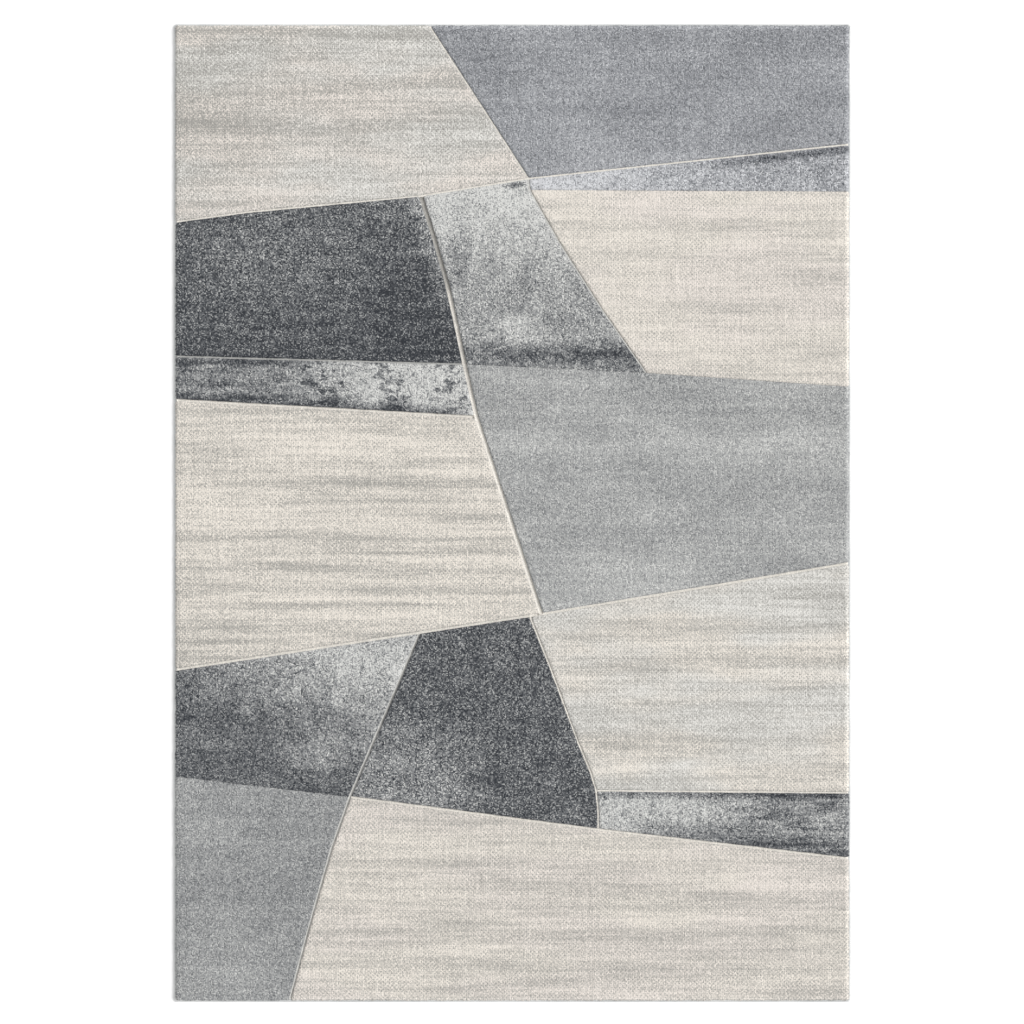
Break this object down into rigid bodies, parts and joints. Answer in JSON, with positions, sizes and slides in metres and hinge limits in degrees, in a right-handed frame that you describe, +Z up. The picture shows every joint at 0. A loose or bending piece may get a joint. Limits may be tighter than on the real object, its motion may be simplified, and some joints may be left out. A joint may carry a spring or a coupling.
{
  "type": "area rug",
  "caption": "Rectangular low-pile area rug: angular patches of grey, cream and anthracite cut pile, low-cut outline lines in carved grooves, latex-backed weave, stitched edges.",
  "frame": {"origin": "middle of the underside, on the floor", "axes": "+X across the rug, +Y along its length towards the end with the grey corner patch, +Z up out of the pile"},
  "size_m": [1.6, 2.312, 0.012],
  "materials": {
    "pile_cream": "matt cut pile, streaked cream yarn",
    "pile_greige": "matt cut pile, streaked greige yarn",
    "pile_grey": "matt cut pile, mid grey yarn",
    "pile_anthracite": "matt cut pile, anthracite yarn",
    "pile_mottled": "soft lustre cut pile, mottled silver and slate yarns",
    "outline_cream": "matt low-cut pile, cream yarn",
    "outline_grey": "matt low-cut pile, pale grey yarn",
    "ground_yarn": "plain woven jute and cotton ground",
    "latex": "matt latex coat showing the weave",
    "edge_yarn": "overcast polyester yarn",
    "cord_yarn": "laid cotton cord"
  },
  "bodies": {
    "root": {"patch_top_left_cream": "pile_cream", "patch_top_right_grey": "pile_grey", "patch_upper_wedge_mottled": "pile_mottled", "patch_upper_right_cream": "pile_cream", "patch_upper_centre_silver": "pile_mottled", "patch_upper_left_anthracite": "pile_anthracite", "patch_left_strip_mottled": "pile_mottled", "patch_centre_left_cream": "pile_cream", "patch_centre_right_grey": "pile_grey", "patch_lower_right_greige": "pile_greige", "patch_lower_left_mottled": "pile_mottled", "patch_lower_centre_anthracite": "pile_anthracite", "patch_right_strip_mottled": "pile_mottled", "patch_bottom_left_grey": "pile_grey", "patch_bottom_cream": "pile_greige", "line_upper_cross": "outline_cream", "line_centre_diagonal": "outline_cream", "line_lower_cross": "outline_cream", "line_top_diagonal": "outline_cream", "line_silver_right": "outline_grey", "line_anthracite_foot": "outline_grey", "line_cream_head": "outline_cream", "line_bottom_diagonal": "outline_grey", "line_bottom_cross": "outline_cream", "line_anthracite_right": "outline_cream", "line_strip_head": "outline_cream", "ground_weave": "ground_yarn", "latex_coat": "latex", "edge_stitching_bottom": "edge_yarn", "edge_stitching_right": "edge_yarn", "edge_stitching_top": "edge_yarn", "edge_stitching_left": "edge_yarn", "filler_cord_bottom": "cord_yarn", "filler_cord_right": "cord_yarn", "filler_cord_top": "cord_yarn", "filler_cord_left": "cord_yarn"}
  },
  "joints": []
}
